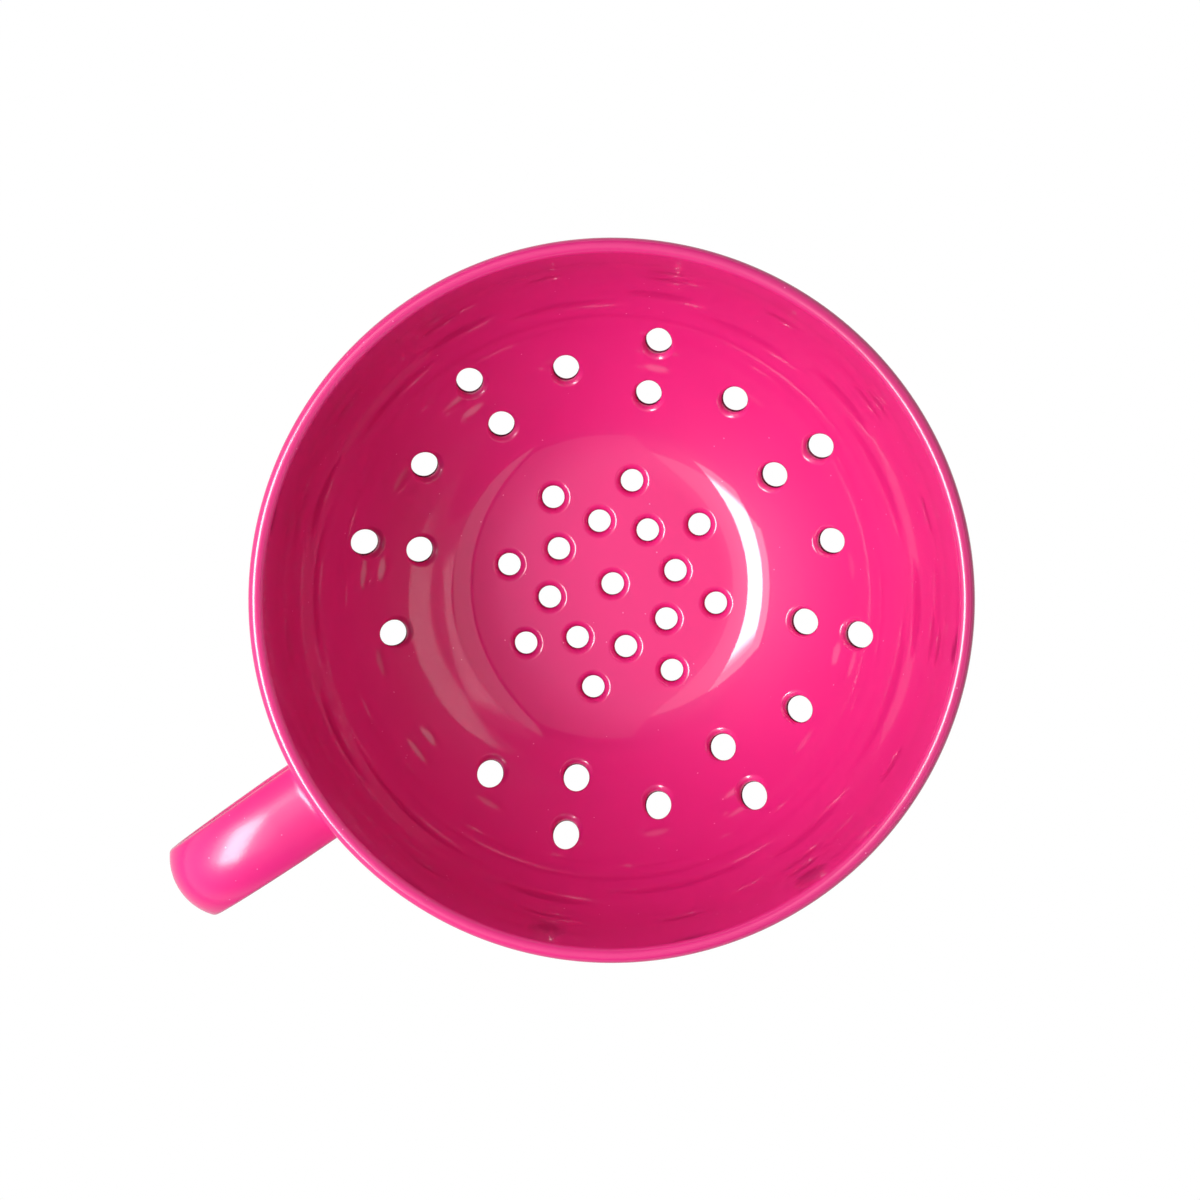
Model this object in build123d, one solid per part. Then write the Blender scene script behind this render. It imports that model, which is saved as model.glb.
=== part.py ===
from build123d import *
import os
from math import acos, asin, atan2, cos, degrees, hypot, radians, sin, sqrt, tan

# Berry colander bowl, in millimetres and degrees.
# The origin is on the bowl's axis in the plane that the foot stands on; +Z is up, the handle is at +X.

# Bowl: diameter over the rim, depth inside from the floor to the rim's crest, moulded wall
RIM_DIAMETER = 150.0
BOWL_DEPTH = 72.0
WALL = 3.2

# Inside profile: flat floor, blend, spherical wall, then a straight collar that spreads to a round lip
FLOOR_RADIUS = 28.7
FLOOR_BLEND_RADIUS = 12.0
COLLAR_SPREAD = 1.8
LIP_FACETS = 6

# Drain holes, bored straight down on spokes that are counted from the handle
SPOKES = 8
FLOOR_HOLE_DIAMETER = 5.0
WALL_HOLE_DIAMETER = 5.7
INNER_FLOOR_RING_RADIUS = 14.3
OUTER_FLOOR_RING_RADIUS = 23.4
LOW_RING_RADIUS = 43.4
MIDDLE_RING_RADIUS = 49.3
HIGH_RING_RADIUS = 55.1

# Foot ring: it keeps the floor holes open above the table
FOOT_HEIGHT = 3.5
FOOT_HOLE_GAP = 0.8
FOOT_TOP_WIDTH = 3.0
FOOT_DRAFT = 8.0

# Handle: a crowned strap in an oval loop that leaves the wall below the rim and comes back to it
HANDLE_PROJECTION = 35.9
HANDLE_DROP = 9.0
HANDLE_LOOP_HEIGHT = 28.0
HANDLE_TIP_RADIUS = 9.0
HANDLE_THICKNESS = 5.5
HANDLE_ROOT_WIDTH = 17.8
HANDLE_TIP_WIDTH = 17.0
HANDLE_RETURN_WIDTH = 17.8
HANDLE_CROWN = 2.4
HANDLE_ARM_FACETS = 4
HANDLE_EDGE_FACETS = 5
HANDLE_CROWN_FACETS = 6

# Heights and radii that follow from these
RIM_RADIUS = RIM_DIAMETER / 2
WALL_SPHERE_RADIUS = RIM_RADIUS - WALL - COLLAR_SPREAD
FLOOR_TOP = FOOT_HEIGHT + WALL
RIM_TOP = FLOOR_TOP + BOWL_DEPTH
SPOKE_ANGLE = 360 / SPOKES
# Round faces close along one line, which is turned clear of the handle and of every hole
SEAM_ANGLE = 180 + SPOKE_ANGLE / 4


def heading(angle):
    """Direction of a profile that climbs at this angle, away from the axis."""
    return Vector(cos(radians(angle)), 0, sin(radians(angle)))


def outside(direction):
    """Direction square to a profile, towards the outer face of the wall."""
    return Vector(direction.Z, 0, -direction.X)


def section(edges):
    """Face in the XZ plane, bounded by edges that close."""
    return Face(Wire(edges))


def spun(face):
    """Solid of revolution about the bowl's axis."""
    return Rot(0, 0, SEAM_ANGLE) * revolve(face, Axis.Z)


# Profile: the blend touches the floor and the sphere, whose centre is on the axis
sphere_rise = sqrt((WALL_SPHERE_RADIUS - FLOOR_BLEND_RADIUS) ** 2 - FLOOR_RADIUS**2)
sphere_centre = Vector(0, 0, FLOOR_TOP + FLOOR_BLEND_RADIUS + sphere_rise)
floor_heading = heading(0)
wall_heading = heading(degrees(atan2(FLOOR_RADIUS, sphere_rise)))

# Collar: the tangent from the middle of the lip to the middle of the spherical wall
lip_centre = Vector(RIM_RADIUS - WALL / 2, 0, RIM_TOP - WALL / 2)
lip_rise = lip_centre.Z - sphere_centre.Z
lip_distance = hypot(lip_centre.X, lip_rise)
lip_elevation = asin(lip_rise / lip_distance)
tangent_turn = acos((WALL_SPHERE_RADIUS + WALL / 2) / lip_distance)
collar_heading = heading(90 + degrees(lip_elevation - tangent_turn))


def profile(depth):
    """Edges from the axis to the lip along the inside of the bowl, or at a depth inside the wall."""
    axis_point = Vector(0, 0, FLOOR_TOP - depth)
    floor_point = Vector(FLOOR_RADIUS, 0, FLOOR_TOP - depth)
    wall_point = sphere_centre + outside(wall_heading) * (WALL_SPHERE_RADIUS + depth)
    collar_point = sphere_centre + outside(collar_heading) * (WALL_SPHERE_RADIUS + depth)
    lip_point = lip_centre + outside(collar_heading) * (depth - WALL / 2)
    return [
        Line(axis_point, floor_point),
        TangentArc(floor_point, wall_point, tangent=floor_heading),
        TangentArc(wall_point, collar_point, tangent=wall_heading),
        Line(collar_point, lip_point),
    ]


def lip_edges():
    """Edges round the lip from the inside of the wall to the outside, on a half circle."""
    turns = [180 * step / LIP_FACETS for step in range(LIP_FACETS + 1)]
    inward = outside(collar_heading) * -1
    spokes = [inward * cos(radians(turn)) + collar_heading * sin(radians(turn)) for turn in turns]
    return Polyline([lip_centre + spoke * (WALL / 2) for spoke in spokes]).edges()


def bowl_form():
    """Solid form that the outside of the bowl bounds."""
    edges = profile(WALL)
    top = Vector(0, 0, (edges[-1] @ 1).Z)
    return spun(section([*edges, Line(edges[-1] @ 1, top), Line(top, edges[0] @ 0)]))


def hole_ring(radius, diameter, first_spoke, skip_handle=False):
    """Bores on every spoke, straight down through the bowl; the handle's own spoke can stay whole."""
    bore = Cylinder(diameter / 2, RIM_TOP, align=(Align.CENTER, Align.CENTER, Align.MIN))
    spokes = range(1, SPOKES) if skip_handle else range(SPOKES)
    angles = [(first_spoke + spoke) * SPOKE_ANGLE for spoke in spokes]
    return [Rot(0, 0, angle) * Pos(radius, 0, 0) * bore for angle in angles]


def bowl_shell():
    """Floor, wall and rounded rim, with the drain holes."""
    inner_edges = profile(0)
    outer_edges = profile(WALL)
    axis_line = Line(outer_edges[0] @ 0, inner_edges[0] @ 0)
    bores = hole_ring(INNER_FLOOR_RING_RADIUS, FLOOR_HOLE_DIAMETER, 0.5)
    bores += hole_ring(OUTER_FLOOR_RING_RADIUS, FLOOR_HOLE_DIAMETER, 0)
    bores += hole_ring(0, FLOOR_HOLE_DIAMETER, 0)[:1]
    bores += hole_ring(LOW_RING_RADIUS, WALL_HOLE_DIAMETER, 0, skip_handle=True)
    bores += hole_ring(MIDDLE_RING_RADIUS, WALL_HOLE_DIAMETER, 0.5)
    bores += hole_ring(HIGH_RING_RADIUS, WALL_HOLE_DIAMETER, 0, skip_handle=True)
    return spun(section([*inner_edges, *lip_edges(), *outer_edges, axis_line])) - bores


def foot_ring():
    """Drafted ring that grows down from the underside of the floor, just outside the floor holes."""
    inner_radius = OUTER_FLOOR_RING_RADIUS + FLOOR_HOLE_DIAMETER / 2 + FOOT_HOLE_GAP
    outer_radius = inner_radius + FOOT_TOP_WIDTH
    toe_draft = FOOT_HEIGHT * tan(radians(FOOT_DRAFT))
    # It is drawn on up through the floor and cut by the bowl, so that its top follows the underside
    head_draft = WALL * tan(radians(FOOT_DRAFT))
    outline = Polyline(
        (inner_radius - head_draft, 0, FLOOR_TOP),
        (inner_radius + toe_draft, 0, 0),
        (outer_radius - toe_draft, 0, 0),
        (outer_radius + head_draft, 0, FLOOR_TOP),
        close=True,
    )
    return spun(section(outline.edges())) - bowl_form()


def arc_points(centre, radius, start, end, facets):
    """Points on an arc between two angles, one more than it has facets."""
    angles = [radians(start + (end - start) * step / facets) for step in range(facets + 1)]
    return [centre + Vector(cos(angle), sin(angle)) * radius for angle in angles]


def strap_section(plane, width):
    """Section of the handle: flat towards the fingers, crowned outside, with round edges."""
    base = -HANDLE_THICKNESS / 2
    edge_radius = (HANDLE_THICKNESS - HANDLE_CROWN) / 2
    flat = width / 2 - edge_radius
    # The crown is the arc through the crest that runs smoothly into both round edges
    drop = HANDLE_THICKNESS - edge_radius
    crown_radius = (flat**2 + drop**2 - edge_radius**2) / (2 * HANDLE_CROWN)
    crown_centre = Vector(0, HANDLE_THICKNESS / 2 - crown_radius)
    right_centre = Vector(flat, base + edge_radius)
    left_centre = Vector(-flat, base + edge_radius)
    meeting = degrees(atan2(right_centre.Y - crown_centre.Y, flat))
    points = arc_points(right_centre, edge_radius, -90, meeting, HANDLE_EDGE_FACETS)[:-1]
    points += arc_points(crown_centre, crown_radius, meeting, 180 - meeting, HANDLE_CROWN_FACETS)
    points += arc_points(left_centre, edge_radius, 180 - meeting, 270, HANDLE_EDGE_FACETS)[1:]
    return plane * make_face(Polyline(points, close=True))


def handle():
    """Oval strap loop that tapers from the wall to its tip, cut to seat on the bowl's outside."""
    top = RIM_TOP - HANDLE_DROP
    half_height = HANDLE_LOOP_HEIGHT / 2
    tip_reach = HANDLE_PROJECTION - HANDLE_TIP_RADIUS
    # Each arm is an arc that is level under the rim and runs smoothly into the tip's arc
    arm_rise = half_height - HANDLE_TIP_RADIUS
    arm_radius = (tip_reach**2 / arm_rise + half_height + HANDLE_TIP_RADIUS) / 2
    arm_turn = degrees(atan2(tip_reach, arm_radius - half_height))
    arm_centre = Vector(RIM_RADIUS, 0, top - arm_radius)
    return_centre = Vector(RIM_RADIUS, 0, top - HANDLE_LOOP_HEIGHT + arm_radius)
    tip_centre = Vector(RIM_RADIUS + tip_reach, 0, top - half_height)

    def arm_sections(centre, root_turn, tip_turn, root_width):
        """Sections along one arm from inside the bowl, straight to the rim and then on its arc."""
        sections = []
        for step in range(HANDLE_ARM_FACETS + 1):
            share = step / HANDLE_ARM_FACETS
            along = heading(-root_turn - (tip_turn - root_turn) * share)
            place = centre - outside(along) * (arm_radius - HANDLE_THICKNESS / 2)
            width = root_width + (HANDLE_TIP_WIDTH - root_width) * share
            sections.append(strap_section(Plane(place, (0, 1, 0), along), width))
        return [Pos(FLOOR_RADIUS - RIM_RADIUS, 0, 0) * sections[0], *sections]

    arm = arm_sections(arm_centre, 0, arm_turn, HANDLE_ROOT_WIDTH)
    return_arm = arm_sections(return_centre, 180, 180 - arm_turn, HANDLE_RETURN_WIDTH)
    tip = revolve(arm[-1], Axis(tip_centre, (0, 1, 0)), 180 - 2 * arm_turn)
    return loft(arm, ruled=True) + tip + loft(return_arm, ruled=True) - bowl_form()


pieces = {"bowl_shell": bowl_shell(), "foot_ring": foot_ring(), "handle": handle()}
os.makedirs("parts", exist_ok=True)
for name, piece in pieces.items():
    export_step(piece, f"parts/{name}.step")
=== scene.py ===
import math
import bpy
import numpy as np
from mathutils import Matrix, Vector
from mathutils.geometry import delaunay_2d_cdt


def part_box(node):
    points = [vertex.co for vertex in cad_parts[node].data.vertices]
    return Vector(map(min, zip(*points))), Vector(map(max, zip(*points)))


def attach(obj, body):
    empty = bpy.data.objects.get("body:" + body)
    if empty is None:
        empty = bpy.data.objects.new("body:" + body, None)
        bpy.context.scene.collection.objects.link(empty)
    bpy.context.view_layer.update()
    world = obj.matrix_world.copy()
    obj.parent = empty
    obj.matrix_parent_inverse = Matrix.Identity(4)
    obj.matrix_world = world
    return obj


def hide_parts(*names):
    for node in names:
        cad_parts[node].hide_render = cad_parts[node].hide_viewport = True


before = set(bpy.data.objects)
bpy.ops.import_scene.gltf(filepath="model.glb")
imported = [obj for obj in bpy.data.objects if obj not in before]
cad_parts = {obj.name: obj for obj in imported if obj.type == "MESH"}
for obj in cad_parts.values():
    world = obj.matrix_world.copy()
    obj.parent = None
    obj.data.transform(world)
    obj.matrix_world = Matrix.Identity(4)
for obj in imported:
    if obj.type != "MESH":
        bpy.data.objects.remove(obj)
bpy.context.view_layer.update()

# Sizes in metres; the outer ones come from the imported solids
MM = 0.001
bowl_low, bowl_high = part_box("bowl_shell")
handle_low, handle_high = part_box("handle")
RIM_RADIUS = bowl_high.y
RIM_TOP = bowl_high.z
FOOT_HEIGHT = bowl_low.z
HANDLE_TIP = handle_high.x
HANDLE_TOP = handle_high.z

# Bowl: moulded wall, flat floor, blend, spherical wall, and a straight collar that spreads to a round lip.
# The blend is softer and the collar spreads less than in the solids, as the photo shows
WALL = 3.2 * MM
FLOOR_RADIUS = 24.5 * MM
FLOOR_BLEND = 22.0 * MM
COLLAR_SPREAD = 1.2 * MM
WALL_SPHERE = RIM_RADIUS - WALL - COLLAR_SPREAD
FLOOR_TOP = FOOT_HEIGHT + WALL
LIP_RADIUS = WALL / 2
LIP_R = RIM_RADIUS - LIP_RADIUS
LIP_Z = RIM_TOP - LIP_RADIUS

# Drain holes. A ring has its radius, the diameter of its holes, its first spoke,
# and whether the handle's spoke stays whole
SPOKES = 8
FLOOR_HOLE = 5.0 * MM
WALL_HOLE = 5.7 * MM
HOLE_RINGS = [
    (14.3 * MM, FLOOR_HOLE, 0.5, False),
    (23.4 * MM, FLOOR_HOLE, 0.0, False),
    (43.4 * MM, WALL_HOLE, 0.0, True),
    (49.3 * MM, WALL_HOLE, 0.5, False),
    (55.1 * MM, WALL_HOLE, 0.0, True),
]
# Lips: radius of the rounding in the floor, inside the wall and outside.
# A fullness of 1 would make it an arc; less makes it flatter, with a crisper edge on the skin
FLOOR_LIP = 1.5 * MM
WALL_LIP = 1.0 * MM
OUTER_LIP = 0.4 * MM
LIP_FULLNESS = 0.72
# Unevenness of the outlines. Where the wall is upright, a bore leans from its inner to its outer mouth
# this far out, and this far to the photo's right and up
HOLE_WOBBLE = 0.012
WOBBLE_ORDERS = (2, 3, 4)
BORE_LEAN = 1.0 * MM
BORE_LEAN_RIGHT = 0.25 * MM
BORE_LEAN_UP = 0.1 * MM

# Foot ring, drafted in degrees, with its root buried in the floor
FOOT_INNER = 26.7 * MM
FOOT_WIDTH = 3.0 * MM
FOOT_DRAFT = 8.0
FOOT_ROOT_FILLET = 0.35 * MM
FOOT_TOE_ROUND = 0.7 * MM
FOOT_BURIED = 1.2 * MM

# Handle: a crowned strap, straight as far as a distance from the axis and then half an oval. A fillet swells
# its roots, which end a little under the wall's face; there a skirt spreads by this many times the depth
HANDLE_THICKNESS = 5.5 * MM
HANDLE_ROOT_WIDTH = 17.8 * MM
HANDLE_TIP_WIDTH = 17.0 * MM
HANDLE_EDGE = 1.5 * MM
HANDLE_CROWN = 2.4 * MM
HANDLE_LOOP = 28.0 * MM
HANDLE_STRAIGHT = 84.0 * MM
HANDLE_FILLET = 2.8 * MM
HANDLE_BURIED = 0.25 * MM
HANDLE_SKIRT = 4.0

# Fineness of the meshes; points of a skin keep clear of a hole's mouth by this share of their spacing
INNER_SPACING = 1.5 * MM
OUTER_SPACING = 2.2 * MM
MOUTH_CLEARANCE = 0.55
RIM_POINTS = 360
RIM_STEPS = 14
HOLE_POINTS = 56
HOLE_LIP_STEPS = 8
FOOT_POINTS = 240
CORNER_STEPS = 6
CROWN_STEPS = 28
STRAP_BASE_STEPS = 15
HANDLE_STEPS = 160
HANDLE_ROOT_STEPS = 24
# Fineness of the sampled section: floor, blend, wall and collar
SECTION_SAMPLES = (200, 80, 600, 120)
# Repeats that bring a search to its answer, a length that counts as none, and the seed of the unevenness
HALVINGS = 40
FILLET_PASSES = 3
TINY = 1e-9
SEED = 7

# Plastic: two pinks of its flow clouds, and dust; the body under the gloss; each gloss as roughness and IOR;
# depth of moulding waves and orange peel, with their grains along a metre; cells, size and share of specks
PINK_DEEP = (0.65, 0.005, 0.165, 1)
PINK_LIGHT = (0.71, 0.007, 0.185, 1)
PINK_DUST = (0.85, 0.16, 0.38, 1)
FLOW_GRAINS = 45.0
FLOW_DETAIL = 4.0
BODY_SPECULAR = 0.5
BODY_ROUGHNESS = (0.52, 0.6)
GLOSS_COAT = (0.05, 1.62)
LIP_COAT = (0.2, 1.7)
HANDLE_COAT = (0.2, 1.48)
WAVE_DEPTH = 0.016 * MM
WAVE_GRAINS = 110.0
PEEL_DEPTH = 0.002 * MM
PEEL_GRAINS = 800.0
BUMP_DETAIL = 1.0
SPECK_CELLS = 400.0
SPECK_SIZE = 0.17 * MM
SPECK_SHARE = 0.35

# View: the camera leans from straight above, in degrees, and the lean is turned from the photo's up.
# The photo's right and up in the part's frame follow from the handle's angle in it
FRAME_PIXELS = 1200
PIXELS_PER_METRE = 4855.0
CAMERA_DISTANCE = 0.900
CAMERA_LEAN = 3.29
CAMERA_LEAN_TURN = 4.0
HANDLE_IMAGE_ANGLE = math.radians(214.4)
RIM_IN_FRAME = (611.4, 602.4)
SENSOR = 36.0
IMAGE_RIGHT = Vector((math.cos(HANDLE_IMAGE_ANGLE), -math.sin(HANDLE_IMAGE_ANGLE), 0))
IMAGE_UP = Vector((math.sin(HANDLE_IMAGE_ANGLE), math.cos(HANDLE_IMAGE_ANGLE), 0))
UP = Vector((0, 0, 1))
# Lean that all bores share, in plan
BORE_TILT = np.array(BORE_LEAN_RIGHT * IMAGE_RIGHT + BORE_LEAN_UP * IMAGE_UP)[:2]

# Lamp panels, this high over the bowl's floor: span to the photo's left, span down the photo, and radiance.
# The key fades at both ends, in steps that its soft reflection blends
PANEL_HEIGHT = 0.85
KEY_LEFT = (0.415, 0.82)
PANELS = {
    "key": (KEY_LEFT, (-0.2, 0.5), 17.5),
    "key_end_0": (KEY_LEFT, (-0.225, -0.2), 12.0),
    "key_end_1": (KEY_LEFT, (-0.25, -0.225), 7.5),
    "key_end_2": (KEY_LEFT, (-0.29, -0.25), 4.5),
    "key_end_3": (KEY_LEFT, (-0.42, -0.29), 2.5),
    "key_end_4": (KEY_LEFT, (0.5, 0.53), 11.0),
    "key_end_5": (KEY_LEFT, (0.53, 0.57), 6.0),
    "key_end_6": (KEY_LEFT, (0.57, 0.7), 2.5),
    "key_far": ((0.82, 1.13), (-0.4, 0.5), 3.0),
    "key_glow": ((0.13, 0.415), (-0.4, 0.5), 0.8),
    "ceiling": ((-0.5, 0.13), (-0.9, 0.9), 0.24),
    "right_fill": ((-1.25, -0.58), (-1.5, 1.5), 0.7),
}

# Surround as the bowl reflects it: a floor that glows, with a painted shadow under the bowl, and fades with
# distance, and a pale horizon that fades into a dark sky, up to the sine of an elevation
WHITE = (1, 1, 1, 1)
BLACK = (0, 0, 0, 1)
FLOOR_REACH = 3.0
FLOOR_LOW = -0.0003
FLOOR_GLOW = 0.9
FLOOR_FAR_GLOW = 0.1
# Radii from the axis over which the floor's painted shadow under the bowl lifts into its glow
FLOOR_PAINTED_SHADOW = (0.062, 0.078)
FLOOR_FADE = (0.12, 0.5)
HORIZON_GLOW = 1.25
HORIZON_RISE = 0.35
SKY_GLOW = 0.02


class Surface:
    """Points, normals and faces of one mesh while it is put together."""

    def __init__(self):
        self.points = []
        self.normals = []
        self.faces = []
        self.count = 0

    def add(self, points, normals=None):
        """Adds points, with normals if the mesh has its own, and gives their indices."""
        self.points.append(points)
        if normals is not None:
            self.normals.append(normals)
        start = self.count
        self.count += len(points)
        return np.arange(start, self.count)

    def strip(self, low, high):
        """Quads between two closed rows of the same length."""
        low_next = np.roll(low, -1)
        high_next = np.roll(high, -1)
        self.faces += np.stack([low, low_next, high_next, high], axis=1).tolist()

    def build(self, name):
        """Blender object with smooth faces."""
        mesh = bpy.data.meshes.new(name)
        mesh.from_pydata(np.concatenate(self.points).tolist(), [], self.faces)
        mesh.validate()
        mesh.polygons.foreach_set("use_smooth", [True] * len(mesh.polygons))
        if self.normals:
            mesh.normals_split_custom_set_from_vertices(np.concatenate(self.normals).tolist())
        piece = bpy.data.objects.new(name, mesh)
        bpy.context.scene.collection.objects.link(piece)
        return piece


class Meridian:
    """Section of one skin of the bowl from the axis to the lip, at a depth inside the wall."""

    rise = math.sqrt((WALL_SPHERE - FLOOR_BLEND) ** 2 - FLOOR_RADIUS**2)
    centre = FLOOR_TOP + FLOOR_BLEND + rise
    wall_slope = math.atan2(FLOOR_RADIUS, rise)
    lip_distance = math.hypot(LIP_R, LIP_Z - centre)
    lip_elevation = math.asin((LIP_Z - centre) / lip_distance)
    tangent_turn = math.acos((WALL_SPHERE + WALL / 2) / lip_distance)
    collar_slope = math.pi / 2 + (lip_elevation - tangent_turn)

    def __init__(self, depth):
        flat_samples, bend_samples, wall_samples, collar_samples = SECTION_SAMPLES
        flat = np.linspace(0, FLOOR_RADIUS, flat_samples)
        bend = np.linspace(0, self.wall_slope, bend_samples)[1:]
        wall = np.linspace(self.wall_slope, self.collar_slope, wall_samples)[1:]
        bend_radius = FLOOR_BLEND + depth
        wall_radius = WALL_SPHERE + depth
        along = np.linspace(0, 1, collar_samples)[1:]
        collar_r = wall_radius * math.sin(self.collar_slope)
        collar_z = self.centre - wall_radius * math.cos(self.collar_slope)
        lip_r = LIP_R + (depth - LIP_RADIUS) * math.sin(self.collar_slope)
        lip_z = LIP_Z - (depth - LIP_RADIUS) * math.cos(self.collar_slope)
        self.r = np.concatenate([
            flat,
            FLOOR_RADIUS + bend_radius * np.sin(bend),
            wall_radius * np.sin(wall),
            collar_r + (lip_r - collar_r) * along,
        ])
        self.z = np.concatenate([
            np.full(flat.shape, FLOOR_TOP - depth),
            FLOOR_TOP - depth + bend_radius * (1 - np.cos(bend)),
            self.centre - wall_radius * np.cos(wall),
            collar_z + (lip_z - collar_z) * along,
        ])
        self.slope = np.concatenate([
            np.zeros(flat.shape),
            bend,
            wall,
            np.full(along.shape, self.collar_slope),
        ])
        steps = np.hypot(np.diff(self.r), np.diff(self.z))
        self.s = np.concatenate([[0], np.cumsum(steps)])
        # Plane radius that keeps angles, so that a flat triangulation stays well shaped on the bowl
        growth = steps[1:] / ((self.r[1:-1] + self.r[2:]) / 2)
        self.plane = np.concatenate([[0, self.r[1]], self.r[1] * np.exp(np.cumsum(growth))])

    def at_radius(self, r):
        """Height, slope and plane radius where the skin has these radii."""
        return [np.interp(r, self.r, values) for values in (self.z, self.slope, self.plane)]

    def at_length(self, s):
        """Radius, height, slope and plane radius at these lengths from the axis."""
        return [np.interp(s, self.s, values) for values in (self.r, self.z, self.slope, self.plane)]


def around(radius, angle):
    """Points in the plane at these radii and angles."""
    return np.stack([radius * np.cos(angle), radius * np.sin(angle)], axis=-1)


def hole_list():
    """Angles round a hole, and each hole's centre and its radii there, uneven as moulded holes are."""
    random = np.random.RandomState(SEED)
    turns = np.linspace(0, 2 * math.pi, HOLE_POINTS, endpoint=False)
    places = [((0.0, 0.0), FLOOR_HOLE / 2)]
    for ring, diameter, first_spoke, skip_handle in HOLE_RINGS:
        for spoke in range(1 if skip_handle else 0, SPOKES):
            angle = (first_spoke + spoke) * 2 * math.pi / SPOKES
            places.append(((ring * math.cos(angle), ring * math.sin(angle)), diameter / 2))
    holes = []
    for centre, radius in places:
        waves = sum(
            random.normal() / order * np.cos(order * turns + random.uniform(0, 2 * math.pi))
            for order in WOBBLE_ORDERS
        )
        holes.append((np.array(centre), radius * (1 + HOLE_WOBBLE * waves)))
    return turns, holes


def corners(line, centre, outline, turns):
    """Sharp edge of a hole's mouth on a skin, with the skin's climb away from the hole there."""
    ahead = around(np.ones_like(turns), turns)
    plan = centre + outline[:, None] * ahead
    r = np.hypot(*plan.T)
    z, slope, _ = line.at_radius(r)
    outward = np.sum(plan * ahead, axis=1) / np.maximum(r, TINY)
    return np.column_stack([plan, z]), np.arctan(np.tan(slope) * outward)


def lip_rows(line, centre, outline, turns, lip, along_bore):
    """Rows over one mouth of a hole, from the skin round its lip into the bore, which runs along_bore.

    With them come the first row's place in the plane, its slopes and angles, and the gap in the skin.
    """
    ahead = around(np.ones_like(turns), turns)
    corner, climb = corners(line, centre, outline, turns)
    on_skin = np.column_stack([ahead * np.cos(climb)[:, None], np.sin(climb)])
    angle = np.arccos(np.sum(on_skin * along_bore, axis=1))
    reach = lip / np.tan(angle / 2)
    mouth = outline + reach * np.cos(climb)
    start = centre + mouth[:, None] * ahead
    start_z, slope, plane = line.at_radius(np.hypot(*start.T))
    skin_row = np.column_stack([start, start_z])
    bore_row = corner + reach[:, None] * along_bore
    weight = LIP_FULLNESS * np.sin(angle / 2)[:, None]
    rows = []
    for step in np.linspace(0, 1, HOLE_LIP_STEPS + 1):
        parts = [(1 - step) ** 2, 2 * step * (1 - step) * weight, step**2]
        rows.append((parts[0] * skin_row + parts[1] * corner + parts[2] * bore_row) / sum(parts))
    turn = np.arctan2(start[:, 1], start[:, 0])
    gap = {"turns": turns, "radius": mouth, "climb": climb, "centre": centre}
    return np.array(rows), around(plane, turn), slope, turn, gap


def hole_mouths(inside, outside, centre, outline, turns):
    """Both mouths of one hole; a bore through the wall leans out, and all lean a little to one side."""
    r = math.hypot(*centre)
    share = math.sin(inside.at_radius(r)[1])
    shift = share / 2 * (BORE_LEAN * centre / max(r, TINY) + BORE_TILT)
    inner, _ = corners(inside, centre - shift, outline, turns)
    outer, _ = corners(outside, centre + shift, outline, turns)
    along = outer - inner
    along /= np.linalg.norm(along, axis=1, keepdims=True)
    inner_lip = FLOOR_LIP if r < FLOOR_RADIUS else WALL_LIP
    inner_mouth = lip_rows(inside, centre - shift, outline, turns, inner_lip, along)
    outer_mouth = lip_rows(outside, centre + shift, outline, turns, OUTER_LIP, -along)
    return inner_mouth, outer_mouth


def skin_normals(slope, angle, side):
    """Normals of a skin, into the bowl for side +1 and out of it for side -1."""
    flat = around(-side * np.sin(slope), angle)
    return np.column_stack([flat, side * np.cos(slope)])


def clear_of(gap, plan, margin):
    """Which points of a skin, given in plan, keep a margin from a hole's mouth."""
    offset = plan - gap["centre"]
    angle = np.arctan2(offset[:, 1], offset[:, 0]) % (2 * math.pi)
    mouth = np.interp(angle, gap["turns"], gap["radius"], period=2 * math.pi)
    climb = np.interp(angle, gap["turns"], gap["climb"], period=2 * math.pi)
    return (np.hypot(*offset.T) - mouth) / np.cos(climb) > margin


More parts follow.
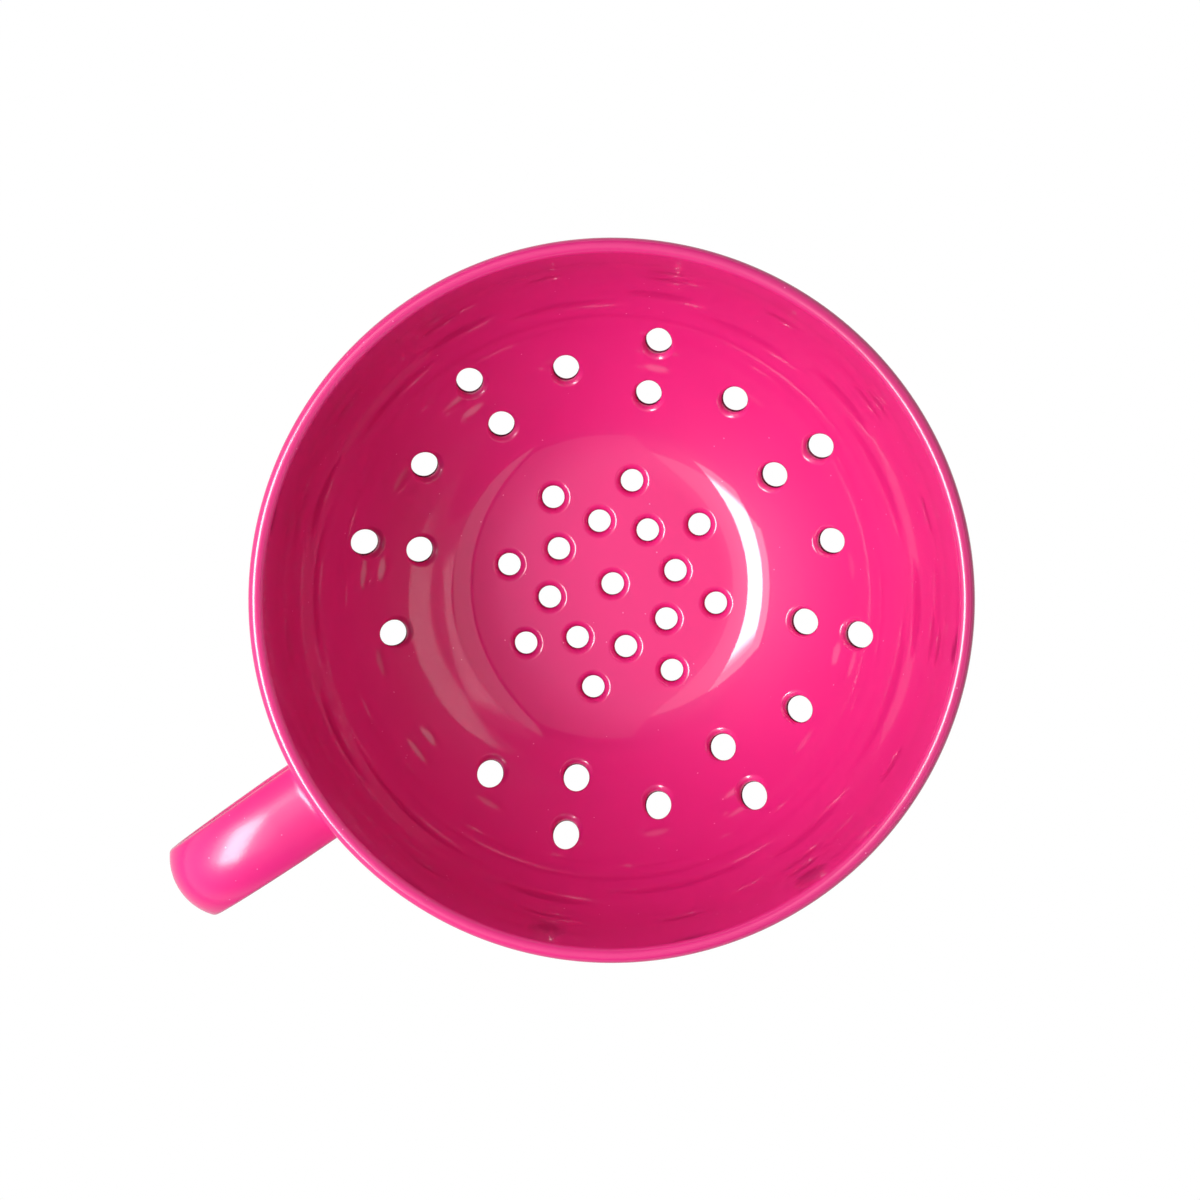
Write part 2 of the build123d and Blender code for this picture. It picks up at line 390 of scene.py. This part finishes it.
def skin(surface, line, spacing, side, mouths):
    """One skin of the bowl with its mouths left open; gives its edge row and the row round each mouth."""
    rows = int(round(line.s[-1] / spacing))
    plan, plane, height, normals = [], [], [], []
    for row in range(rows + 1):
        r, z, slope, flat = line.at_length(line.s[-1] * row / rows)
        number = RIM_POINTS if row == rows else max(1, int(round(2 * math.pi * r / spacing)))
        shift = 0 if row == rows else 0.5 * (row % 2)
        angle = (np.arange(number) + shift) * 2 * math.pi / number
        plan.append(around(np.full(number, r), angle))
        plane.append(around(np.full(number, flat), angle))
        height.append(np.full(number, z))
        normals.append(skin_normals(np.full(number, slope), angle, side))
    plan, plane, normals = np.concatenate(plan), np.concatenate(plane), np.concatenate(normals)
    points = np.column_stack([plan, np.concatenate(height)])
    keep = np.ones(len(plan), bool)
    for mouth in mouths:
        keep &= clear_of(mouth[-1], plan, MOUTH_CLEARANCE * spacing)
    keep[-RIM_POINTS:] = True
    points, plane, normals = points[keep], plane[keep], normals[keep]
    edge_row = surface.add(points, normals)[-RIM_POINTS:]
    first = edge_row[-1] + 1 - len(points)
    flat_points = [plane]
    owner = [np.full(len(points), -1)]
    mouth_rows = []
    for number, (lip, flat, slope, angle, _) in enumerate(mouths):
        mouth_rows.append(surface.add(lip[0], skin_normals(slope, angle, side)))
        flat_points.append(flat)
        owner.append(np.full(len(flat), number))
    flat_points, owner = np.concatenate(flat_points), np.concatenate(owner)
    edges = []
    for row in mouth_rows:
        edges += np.stack([row - first, np.roll(row, -1) - first], axis=1).tolist()
    found = delaunay_2d_cdt([Vector(point) for point in flat_points], edges, [], 0, TINY)
    source = np.array([original[0] for original in found[3]])
    faces = source[np.array(found[2])]
    owners = owner[faces]
    inside_hole = (owners[:, 0] >= 0) & (owners[:, 0] == owners[:, 1]) & (owners[:, 0] == owners[:, 2])
    faces = faces[~inside_hole] + first
    surface.faces += (faces if side > 0 else faces[:, ::-1]).tolist()
    return edge_row, mouth_rows


def bore(surface, inner_mouth, outer_mouth, inner_row, outer_row, turns):
    """Rounded lips and straight wall of one drain hole."""
    rows = np.concatenate([inner_mouth[0], outer_mouth[0][::-1]])
    along = np.gradient(rows, axis=0)
    around_hole = np.roll(rows, -1, axis=1) - np.roll(rows, 1, axis=1)
    normals = np.cross(around_hole, along)
    wall = np.column_stack([-np.cos(turns), -np.sin(turns), np.zeros_like(turns)])
    normals[HOLE_LIP_STEPS] = normals[HOLE_LIP_STEPS + 1] = wall
    normals /= np.linalg.norm(normals, axis=2, keepdims=True)
    previous = inner_row
    for row, row_normals in zip(rows[1:-1], normals[1:-1]):
        current = surface.add(row, row_normals)
        surface.strip(previous, current)
        previous = current
    surface.strip(previous, outer_row)


def rim(surface, outer_row, inner_row):
    """Round lip between the two skins."""
    angle = np.arange(RIM_POINTS) * 2 * math.pi / RIM_POINTS
    previous = outer_row
    middle = np.column_stack([around(np.full(RIM_POINTS, LIP_R), angle), np.full(RIM_POINTS, LIP_Z)])
    for step in range(1, RIM_STEPS):
        turn = Meridian.collar_slope - math.pi / 2 + math.pi * step / RIM_STEPS
        flat = around(np.full(RIM_POINTS, math.cos(turn)), angle)
        normals = np.column_stack([flat, np.full(RIM_POINTS, math.sin(turn))])
        current = surface.add(LIP_RADIUS * normals + middle, normals)
        surface.strip(previous, current)
        previous = current
    surface.strip(previous, inner_row)


def bowl():
    """Floor, wall and rim with lipped drain holes."""
    surface = Surface()
    inside = Meridian(0)
    outside = Meridian(WALL)
    turns, holes = hole_list()
    mouths = [hole_mouths(inside, outside, *hole, turns) for hole in holes]
    inner_mouths, outer_mouths = zip(*mouths)
    inner_edge, inner_rows = skin(surface, inside, INNER_SPACING, 1, inner_mouths)
    outer_edge, outer_rows = skin(surface, outside, OUTER_SPACING, -1, outer_mouths)
    for rows in zip(inner_mouths, outer_mouths, inner_rows, outer_rows):
        bore(surface, *rows, turns)
    skin_faces = len(surface.faces)
    rim(surface, outer_edge, inner_edge)
    piece = surface.build("colander_bowl")
    # The lip is handled, so its gloss is softer: it takes the second material
    for face in piece.data.polygons[skin_faces:]:
        face.material_index = 1
    return piece


def lathe(name, section):
    """Closed ring of revolution about the bowl's axis from a closed section of radii and heights."""
    surface = Surface()
    angle = np.arange(FOOT_POINTS) * 2 * math.pi / FOOT_POINTS
    rows = []
    for r, z in section:
        row = np.column_stack([around(np.full(FOOT_POINTS, r), angle), np.full(FOOT_POINTS, z)])
        rows.append(surface.add(row))
    for low, high in zip(rows, rows[1:] + rows[:1]):
        surface.strip(low, high)
    return surface.build(name)


def corner_arc(centre, radius, start, end, steps=CORNER_STEPS):
    """Points on an arc in the plane of a section, between two angles in degrees."""
    angles = np.radians(np.linspace(start, end, steps + 1))
    return np.array(centre) + radius * around(np.ones_like(angles), angles)


def foot():
    """Drafted foot ring with a rounded toe and small fillets where it meets the floor."""
    slant = math.radians(FOOT_DRAFT)
    draft = FOOT_HEIGHT * math.tan(slant)
    outer = FOOT_INNER + FOOT_WIDTH
    toe = FOOT_TOE_ROUND
    root = FOOT_ROOT_FILLET
    toe_inset = toe * math.tan(math.pi / 4 + slant / 2)
    root_reach = root * math.tan(math.pi / 4 - slant / 2)
    section = [(FOOT_INNER - root_reach, FOOT_HEIGHT + FOOT_BURIED)]
    section += [*corner_arc((FOOT_INNER - root_reach, FOOT_HEIGHT - root), root, 90, FOOT_DRAFT)]
    section += [*corner_arc((FOOT_INNER + draft + toe_inset, toe), toe, 180 + FOOT_DRAFT, 270)]
    section += [*corner_arc((outer - draft - toe_inset, toe), toe, 270, 360 - FOOT_DRAFT)]
    section += [*corner_arc((outer + root_reach, FOOT_HEIGHT - root), root, 180 - FOOT_DRAFT, 90)]
    section += [(outer + root_reach, FOOT_HEIGHT + FOOT_BURIED)]
    return lathe("colander_foot", section)


def strap_outline(width):
    """Closed section of the strap, across and out of its loop: flat to the fingers, crowned outside."""
    base = -HANDLE_THICKNESS / 2
    top = HANDLE_THICKNESS / 2
    edge = HANDLE_EDGE
    flat = width / 2 - edge
    low = base + edge
    high = top - HANDLE_CROWN - edge
    bow = (flat**2 + (HANDLE_CROWN + edge) ** 2 - edge**2) / (2 * HANDLE_CROWN)
    meeting = math.degrees(math.atan2(high - top + bow, flat))
    across = np.linspace(-flat, flat, STRAP_BASE_STEPS + 1)[1:-1]
    return np.concatenate([
        corner_arc((flat, low), edge, -90, 0),
        corner_arc((flat, high), edge, 0, meeting)[:-1],
        corner_arc((0, top - bow), bow, meeting, 180 - meeting, CROWN_STEPS)[:-1],
        corner_arc((-flat, high), edge, 180 - meeting, 180),
        corner_arc((-flat, low), edge, 180, 270),
        np.column_stack([across, np.full(across.shape, base)]),
    ])


def strap_row(x, z, heading, width):
    """Section of the strap in place, at a point of its path in the plane through the handle."""
    outline = strap_outline(width)
    out = np.array([-math.sin(heading), 0, math.cos(heading)])
    return np.array([x, 0, z]) + outline[:, :1] * np.array([0, 1, 0]) + outline[:, 1:] * out


def wall_distance(points):
    """Distance of points from the bowl's outside, below zero inside the wall."""
    r = np.hypot(points[..., 0], points[..., 1])
    fall = Meridian.centre - points[..., 2]
    reach = WALL_SPHERE + WALL
    slope = Meridian.collar_slope
    on_wall = np.hypot(r, fall) - reach
    on_collar = r * math.sin(slope) + fall * math.cos(slope) - reach
    return np.where(np.arctan2(r, fall) < slope, on_wall, on_collar)


def wall_normal(points):
    """Directions square to the bowl's outside at points near it."""
    r = np.hypot(points[:, 0], points[:, 1])
    turn = np.minimum(np.arctan2(r, Meridian.centre - points[:, 2]), Meridian.collar_slope)
    flat = points[:, :2] * (np.sin(turn) / r)[:, None]
    return np.column_stack([flat, -np.cos(turn)])


def loop_path():
    """Stations along the strap's bend, half an oval: middle point, heading and width of each."""
    turn = np.linspace(0, math.pi, HANDLE_STEPS + 1)
    reach = HANDLE_TIP - HANDLE_STRAIGHT
    rise = HANDLE_LOOP / 2
    out = np.array([np.sin(turn) / reach, np.cos(turn) / rise])
    out /= np.linalg.norm(out, axis=0)
    x = HANDLE_STRAIGHT + reach * np.sin(turn) - out[0] * HANDLE_THICKNESS / 2
    z = HANDLE_TOP - rise + rise * np.cos(turn) - out[1] * HANDLE_THICKNESS / 2
    heading = np.arctan2(-out[0], out[1])
    width = HANDLE_ROOT_WIDTH + (HANDLE_TIP_WIDTH - HANDLE_ROOT_WIDTH) * np.sin(turn)
    return x, z, heading, width


def run_in(row):
    """Rows that carry an arm on from its last section, straight back into the wall."""
    short = np.zeros(len(row))
    far = np.full(len(row), RIM_RADIUS / 2)
    back = np.array([-1, 0, 0])
    for _ in range(HALVINGS):
        middle = (short + far) / 2
        buried = wall_distance(row + middle[:, None] * back) < -HANDLE_BURIED
        far = np.where(buried, middle, far)
        short = np.where(buried, short, middle)
    shares = 1 - (1 - np.linspace(0, 1, HANDLE_ROOT_STEPS + 1)[1:]) ** 2
    return [row + (far * share)[:, None] * back for share in shares]


def filleted(row, heading):
    """Section of the strap, swelled near the wall into a fillet."""
    out = np.array([-math.sin(heading), 0, math.cos(heading)])
    around_row = np.roll(row, -1, axis=0) - np.roll(row, 1, axis=0)
    across, rise = around_row[:, 1], around_row @ out
    away = rise[:, None] * np.array([0, 1, 0]) - across[:, None] * out
    away /= np.linalg.norm(away, axis=1, keepdims=True)
    distance = wall_distance(row)
    near = np.clip(distance, 0, HANDLE_FILLET)
    swell = HANDLE_FILLET - np.sqrt(HANDLE_FILLET**2 - (HANDLE_FILLET - near) ** 2)
    # Under the wall's face the fillet spreads on as a skirt, so that it shades smoothly into the wall
    swell += HANDLE_SKIRT * np.maximum(-distance, 0)
    moved = row + swell[:, None] * away
    # The wall curves away beside the strap, so the fillet is drawn back to it
    for _ in range(FILLET_PASSES):
        moved += (distance - wall_distance(moved))[:, None] * wall_normal(moved)
    return moved


def handle():
    """Oval strap loop that grows out of the wall under the rim and comes back to it."""
    sections = [(strap_row(*place), place[2]) for place in zip(*loop_path())]
    root, end = sections[0], sections[-1]
    sections = [(row, root[1]) for row in run_in(root[0])[::-1]] + sections
    sections += [(row, end[1]) for row in run_in(end[0])]
    sections = [filleted(*section) for section in sections]
    surface = Surface()
    rows = [surface.add(points) for points in sections]
    for back_row, front_row in zip(rows, rows[1:]):
        surface.strip(back_row, front_row)
    for row, points, order in ((rows[0], sections[0], 1), (rows[-1], sections[-1], -1)):
        middle = surface.add(points.mean(axis=0, keepdims=True))[0]
        pairs = zip(np.roll(row, -1).tolist(), row.tolist())
        surface.faces += [[middle, *pair][::order] for pair in pairs]
    return surface.build("colander_handle")


def node(tree, kind, **values):
    """New shader node with its inputs set by name."""
    made = tree.nodes.new(kind)
    for name, value in values.items():
        made.inputs[name.replace("_", " ")].default_value = value
    return made


def feed(tree, socket, value):
    """Sets an input to a value, or links it to another node's output."""
    if isinstance(value, bpy.types.NodeSocket):
        tree.links.new(value, socket)
    else:
        socket.default_value = value


def maths(tree, operation, *values):
    """Result of one operation on values, which may be outputs or plain numbers."""
    made = tree.nodes.new("ShaderNodeMath")
    made.operation = operation
    for socket, value in zip(made.inputs, values):
        feed(tree, socket, value)
    return made.outputs["Value"]


def noise(tree, place, scale, detail):
    """Soft noise over the piece; scale counts its grains along a metre."""
    made = node(tree, "ShaderNodeTexNoise", Scale=scale, Detail=detail)
    tree.links.new(place, made.inputs["Vector"])
    return made.outputs["Fac"]


def specks(tree, place):
    """Sparse pale specks of dust, one in some of the cells of a fine pattern."""
    cells = node(tree, "ShaderNodeTexVoronoi", Scale=SPECK_CELLS)
    tree.links.new(place, cells.inputs["Vector"])
    near = maths(tree, "LESS_THAN", cells.outputs["Distance"], SPECK_SIZE * SPECK_CELLS)
    chosen = maths(tree, "GREATER_THAN", cells.outputs["Color"], 1 - SPECK_SHARE)
    return maths(tree, "MULTIPLY", near, chosen)


def blend(tree, share, low, high):
    """Colour between two others, which may be outputs or plain colours."""
    mix = tree.nodes.new("ShaderNodeMix")
    mix.data_type = "RGBA"
    tree.links.new(share, mix.inputs["Factor"])
    colours = [socket for socket in mix.inputs if socket.type == "RGBA"]
    for socket, value in zip(colours, (low, high)):
        feed(tree, socket, value)
    return next(socket for socket in mix.outputs if socket.type == "RGBA")


def pink_plastic(name, coat_roughness, coat_ior):
    """Glossy moulded plastic: pink body with faint flow clouds and dust under a clear, slightly wavy coat."""
    material = bpy.data.materials.new(name)
    material.use_nodes = True
    tree = material.node_tree
    shader = tree.nodes["Principled BSDF"]
    shader.inputs["Specular IOR Level"].default_value = BODY_SPECULAR
    shader.inputs["Coat Weight"].default_value = 1.0
    shader.inputs["Coat IOR"].default_value = coat_ior
    shader.inputs["Coat Roughness"].default_value = coat_roughness
    place = tree.nodes.new("ShaderNodeTexCoord").outputs["Object"]
    clouds = noise(tree, place, FLOW_GRAINS, FLOW_DETAIL)
    body = blend(tree, clouds, PINK_DEEP, PINK_LIGHT)
    tree.links.new(blend(tree, specks(tree, place), body, PINK_DUST), shader.inputs["Base Color"])
    under = node(tree, "ShaderNodeMapRange", To_Min=BODY_ROUGHNESS[0], To_Max=BODY_ROUGHNESS[1])
    tree.links.new(clouds, under.inputs["Value"])
    tree.links.new(under.outputs["Result"], shader.inputs["Roughness"])
    waves = node(tree, "ShaderNodeBump", Strength=1.0, Distance=WAVE_DEPTH)
    tree.links.new(noise(tree, place, WAVE_GRAINS, BUMP_DETAIL), waves.inputs["Height"])
    peel = node(tree, "ShaderNodeBump", Strength=1.0, Distance=PEEL_DEPTH)
    tree.links.new(noise(tree, place, PEEL_GRAINS, BUMP_DETAIL), peel.inputs["Height"])
    tree.links.new(waves.outputs["Normal"], peel.inputs["Normal"])
    for skin_input in ("Normal", "Coat Normal"):
        tree.links.new(peel.outputs["Normal"], shader.inputs[skin_input])
    return material


def seen_white(tree, glow):
    """Strength of a glow that the camera sees as plain white and the bowl reflects as given."""
    paths = tree.nodes.new("ShaderNodeLightPath")
    level = node(tree, "ShaderNodeMapRange", To_Max=1.0)
    tree.links.new(paths.outputs["Is Camera Ray"], level.inputs["Value"])
    tree.links.new(glow, level.inputs["To Min"])
    return level.outputs["Result"]


def white_floor():
    """Plain white floor that lights itself, so that it is white through the drain holes too; the glow that
    the bowl reflects holds a painted shadow under the bowl.
    """
    material = bpy.data.materials.new("white_floor")
    material.use_nodes = True
    tree = material.node_tree
    shader = tree.nodes["Principled BSDF"]
    shader.inputs["Base Color"].default_value = BLACK
    shader.inputs["Roughness"].default_value = 1.0
    shader.inputs["Specular IOR Level"].default_value = 0.0
    shader.inputs["Emission Color"].default_value = WHITE
    # The glow is painted darker under the bowl: a painted shadow that the bowl reflects
    place = tree.nodes.new("ShaderNodeNewGeometry")
    away = tree.nodes.new("ShaderNodeVectorMath")
    away.operation = "LENGTH"
    tree.links.new(place.outputs["Position"], away.inputs[0])
    shade = node(tree, "ShaderNodeMapRange", From_Min=FLOOR_PAINTED_SHADOW[0], From_Max=FLOOR_PAINTED_SHADOW[1])
    tree.links.new(away.outputs["Value"], shade.inputs["Value"])
    fade = node(
        tree,
        "ShaderNodeMapRange",
        From_Min=FLOOR_FADE[0],
        From_Max=FLOOR_FADE[1],
        To_Min=FLOOR_GLOW,
        To_Max=FLOOR_FAR_GLOW,
    )
    tree.links.new(away.outputs["Value"], fade.inputs["Value"])
    glow = maths(tree, "MULTIPLY", shade.outputs["Result"], fade.outputs["Result"])
    tree.links.new(seen_white(tree, glow), shader.inputs["Emission Strength"])
    mesh = bpy.data.meshes.new("floor")
    signs = ((-1, -1), (1, -1), (1, 1), (-1, 1))
    outline = [(x * FLOOR_REACH, y * FLOOR_REACH, FLOOR_LOW) for x, y in signs]
    mesh.from_pydata(outline, [], [(0, 1, 2, 3)])
    mesh.materials.append(material)
    floor = bpy.data.objects.new("floor", mesh)
    bpy.context.scene.collection.objects.link(floor)


def aim(thing, position, target, up):
    """Places a camera or lamp at a point, looking at another."""
    ahead = (target - position).normalized()
    right = ahead.cross(up).normalized()
    turn = Matrix((right, right.cross(ahead), -ahead)).transposed()
    thing.matrix_world = Matrix.Translation(position) @ turn.to_4x4()


def camera():
    """Camera almost straight above, where the photo was taken."""
    data = bpy.data.cameras.new("camera")
    data.sensor_width = SENSOR
    data.lens = SENSOR * PIXELS_PER_METRE * CAMERA_DISTANCE / FRAME_PIXELS
    thing = bpy.data.objects.new("camera", data)
    bpy.context.scene.collection.objects.link(thing)
    rim_centre = Vector((0, 0, RIM_TOP))
    lean = math.radians(CAMERA_LEAN)
    turn = math.radians(CAMERA_LEAN_TURN)
    sideways = IMAGE_UP * math.cos(turn) + IMAGE_RIGHT * math.sin(turn)
    position = rim_centre + CAMERA_DISTANCE * (sideways * math.sin(lean) + UP * math.cos(lean))
    middle = FRAME_PIXELS / 2
    offset = IMAGE_UP * (RIM_IN_FRAME[1] - middle) - IMAGE_RIGHT * (RIM_IN_FRAME[0] - middle)
    aim(thing, position, rim_centre + offset / PIXELS_PER_METRE, IMAGE_UP)
    bpy.context.scene.camera = thing


def panel(name, left, down, radiance):
    """Lamp panel overhead, with its span to the photo's left and its span down the photo."""
    data = bpy.data.lights.new(name, "AREA")
    data.shape = "RECTANGLE"
    data.size = down[1] - down[0]
    data.size_y = left[1] - left[0]
    data.energy = radiance * math.pi * data.size * data.size_y
    thing = bpy.data.objects.new(name, data)
    bpy.context.scene.collection.objects.link(thing)
    sideways = IMAGE_RIGHT * (left[0] + left[1]) / -2 - IMAGE_UP * (down[0] + down[1]) / 2
    centre = sideways + UP * (FLOOR_TOP + PANEL_HEIGHT)
    aim(thing, centre, centre - UP, IMAGE_RIGHT)
    thing.visible_camera = False


def light():
    """Large soft light from the photo's left, a weak one from its right, and a surround seen as white."""
    for name, lamp in PANELS.items():
        panel(name, *lamp)
    world = bpy.data.worlds.new("surround")
    world.use_nodes = True
    tree = world.node_tree
    background = tree.nodes["Background"]
    background.inputs["Color"].default_value = WHITE
    # Low down the surround is pale
    height = tree.nodes.new("ShaderNodeSeparateXYZ")
    tree.links.new(tree.nodes.new("ShaderNodeTexCoord").outputs["Generated"], height.inputs["Vector"])
    pale = node(tree, "ShaderNodeMapRange", From_Max=HORIZON_RISE, To_Min=HORIZON_GLOW, To_Max=SKY_GLOW)
    tree.links.new(height.outputs["Z"], pale.inputs["Value"])
    tree.links.new(seen_white(tree, pale.outputs["Result"]), background.inputs["Strength"])
    scene = bpy.context.scene
    scene.world = world
    scene.view_settings.view_transform = "Standard"


gloss = pink_plastic("pink_gloss_plastic", *GLOSS_COAT)
lip_gloss = pink_plastic("pink_lip_plastic", *LIP_COAT)
handle_gloss = pink_plastic("pink_handle_plastic", *HANDLE_COAT)
for piece, replaced, plastics in (
    (bowl(), "bowl_shell", (gloss, lip_gloss)),
    (foot(), "foot_ring", (gloss,)),
    (handle(), "handle", (handle_gloss,)),
):
    for plastic in plastics:
        piece.data.materials.append(plastic)
    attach(piece, "root")
    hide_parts(replaced)
white_floor()
camera()
light()
